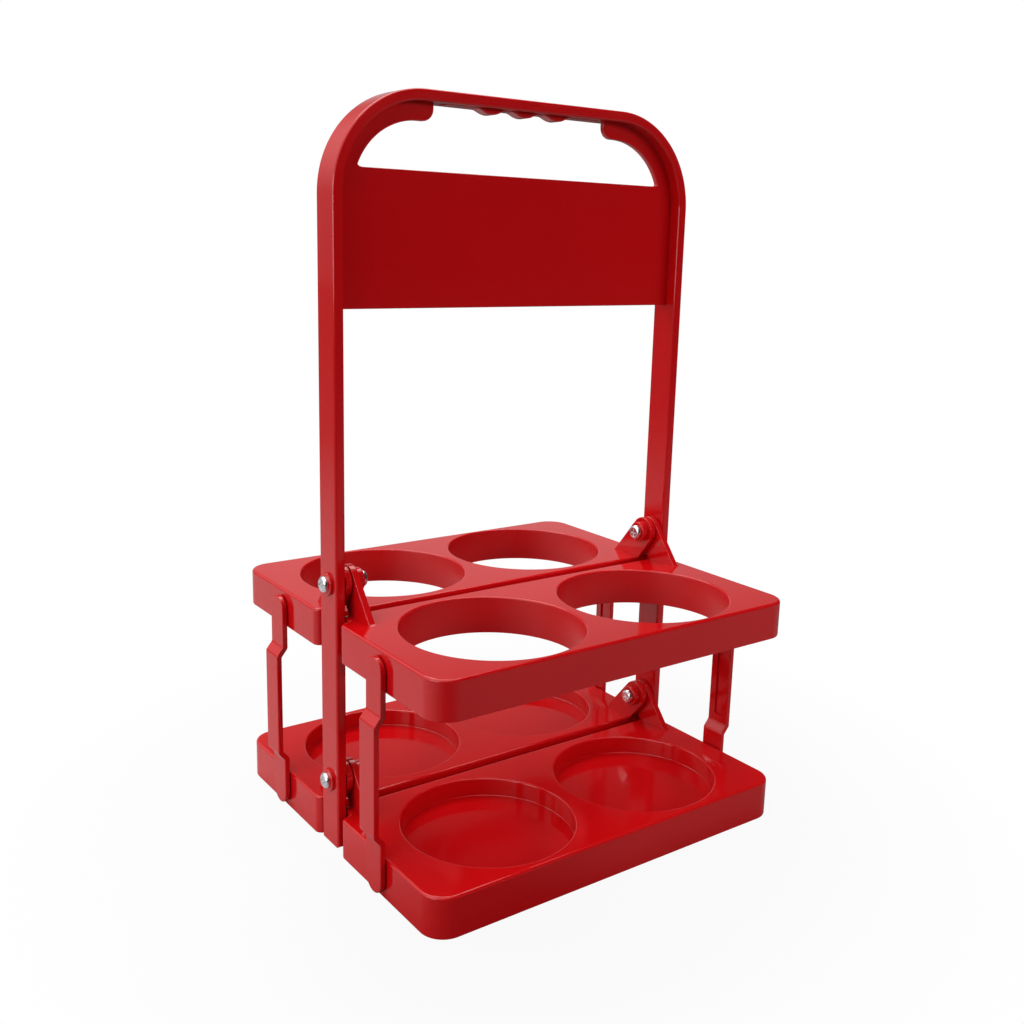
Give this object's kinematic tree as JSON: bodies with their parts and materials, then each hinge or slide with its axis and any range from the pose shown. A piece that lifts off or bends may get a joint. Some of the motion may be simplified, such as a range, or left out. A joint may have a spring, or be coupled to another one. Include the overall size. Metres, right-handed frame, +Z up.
{
  "type": "folding bottle carrier",
  "caption": "Folding plastic carrier: ring trays over recessed base trays, hinged on a tall handle frame and tied by cranked side links, holding bottles upright.",
  "frame": {"origin": "on the floor under the middle of the handle frame, at the centre of the footprint", "axes": "+Z up, X along the handle and the fold line, -Y towards the front trays"},
  "size_m": [0.2002, 0.1754, 0.32],
  "materials": {
    "red_plastic": "high gloss, moulded",
    "screw_chrome": "bright plated"
  },
  "bodies": {
    "frame": {"handle_frame": "red_plastic", "pivot_screw_upper_left": "screw_chrome", "pivot_screw_upper_right": "screw_chrome", "pivot_screw_lower_left": "screw_chrome", "pivot_screw_lower_right": "screw_chrome", "barrel_nut_upper_left": "screw_chrome", "barrel_nut_upper_right": "screw_chrome", "barrel_nut_lower_left": "screw_chrome", "barrel_nut_lower_right": "screw_chrome"},
    "upper_front": {"upper_tray_front": "red_plastic"},
    "lower_front": {"lower_tray_front": "red_plastic"},
    "link_front_left": {"link_front_left": "red_plastic"},
    "link_front_right": {"link_front_right": "red_plastic"},
    "upper_rear": {"upper_tray_rear": "red_plastic"},
    "lower_rear": {"lower_tray_rear": "red_plastic"},
    "link_rear_left": {"link_rear_left": "red_plastic"},
    "link_rear_right": {"link_rear_right": "red_plastic"}
  },
  "joints": [
    {"name": "upper_front_fold", "type": "hinge", "parent": "frame", "child": "upper_front", "pos_m": [0, 0, 0.1197], "axis": [-1, 0, 0], "range_deg": [0, 90]},
    {"name": "lower_front_fold", "type": "hinge", "parent": "frame", "child": "lower_front", "pos_m": [0, 0, 0.0312], "axis": [-1, 0, 0], "range_deg": [0, 90]},
    {"name": "link_front_left_turn", "type": "hinge", "parent": "upper_front", "child": "link_front_left", "pos_m": [0, -0.0451, 0.0965], "axis": [-1, 0, 0], "range_deg": [-90, 0]},
    {"name": "link_front_right_turn", "type": "hinge", "parent": "upper_front", "child": "link_front_right", "pos_m": [0, -0.0451, 0.0965], "axis": [-1, 0, 0], "range_deg": [-90, 0]},
    {"name": "upper_rear_fold", "type": "hinge", "parent": "frame", "child": "upper_rear", "pos_m": [0, 0, 0.1197], "axis": [1, 0, 0], "range_deg": [0, 90]},
    {"name": "lower_rear_fold", "type": "hinge", "parent": "frame", "child": "lower_rear", "pos_m": [0, 0, 0.0312], "axis": [1, 0, 0], "range_deg": [0, 90]},
    {"name": "link_rear_left_turn", "type": "hinge", "parent": "upper_rear", "child": "link_rear_left", "pos_m": [0, 0.0451, 0.0965], "axis": [1, 0, 0], "range_deg": [-90, 0]},
    {"name": "link_rear_right_turn", "type": "hinge", "parent": "upper_rear", "child": "link_rear_right", "pos_m": [0, 0.0451, 0.0965], "axis": [1, 0, 0], "range_deg": [-90, 0]}
  ],
  "couplings": [
    {"joint": "lower_front_fold", "follows": "upper_front_fold", "ratio": 1},
    {"joint": "link_front_left_turn", "follows": "upper_front_fold", "ratio": -1},
    {"joint": "link_front_right_turn", "follows": "upper_front_fold", "ratio": -1},
    {"joint": "lower_rear_fold", "follows": "upper_rear_fold", "ratio": 1},
    {"joint": "link_rear_left_turn", "follows": "upper_rear_fold", "ratio": -1},
    {"joint": "link_rear_right_turn", "follows": "upper_rear_fold", "ratio": -1}
  ]
}
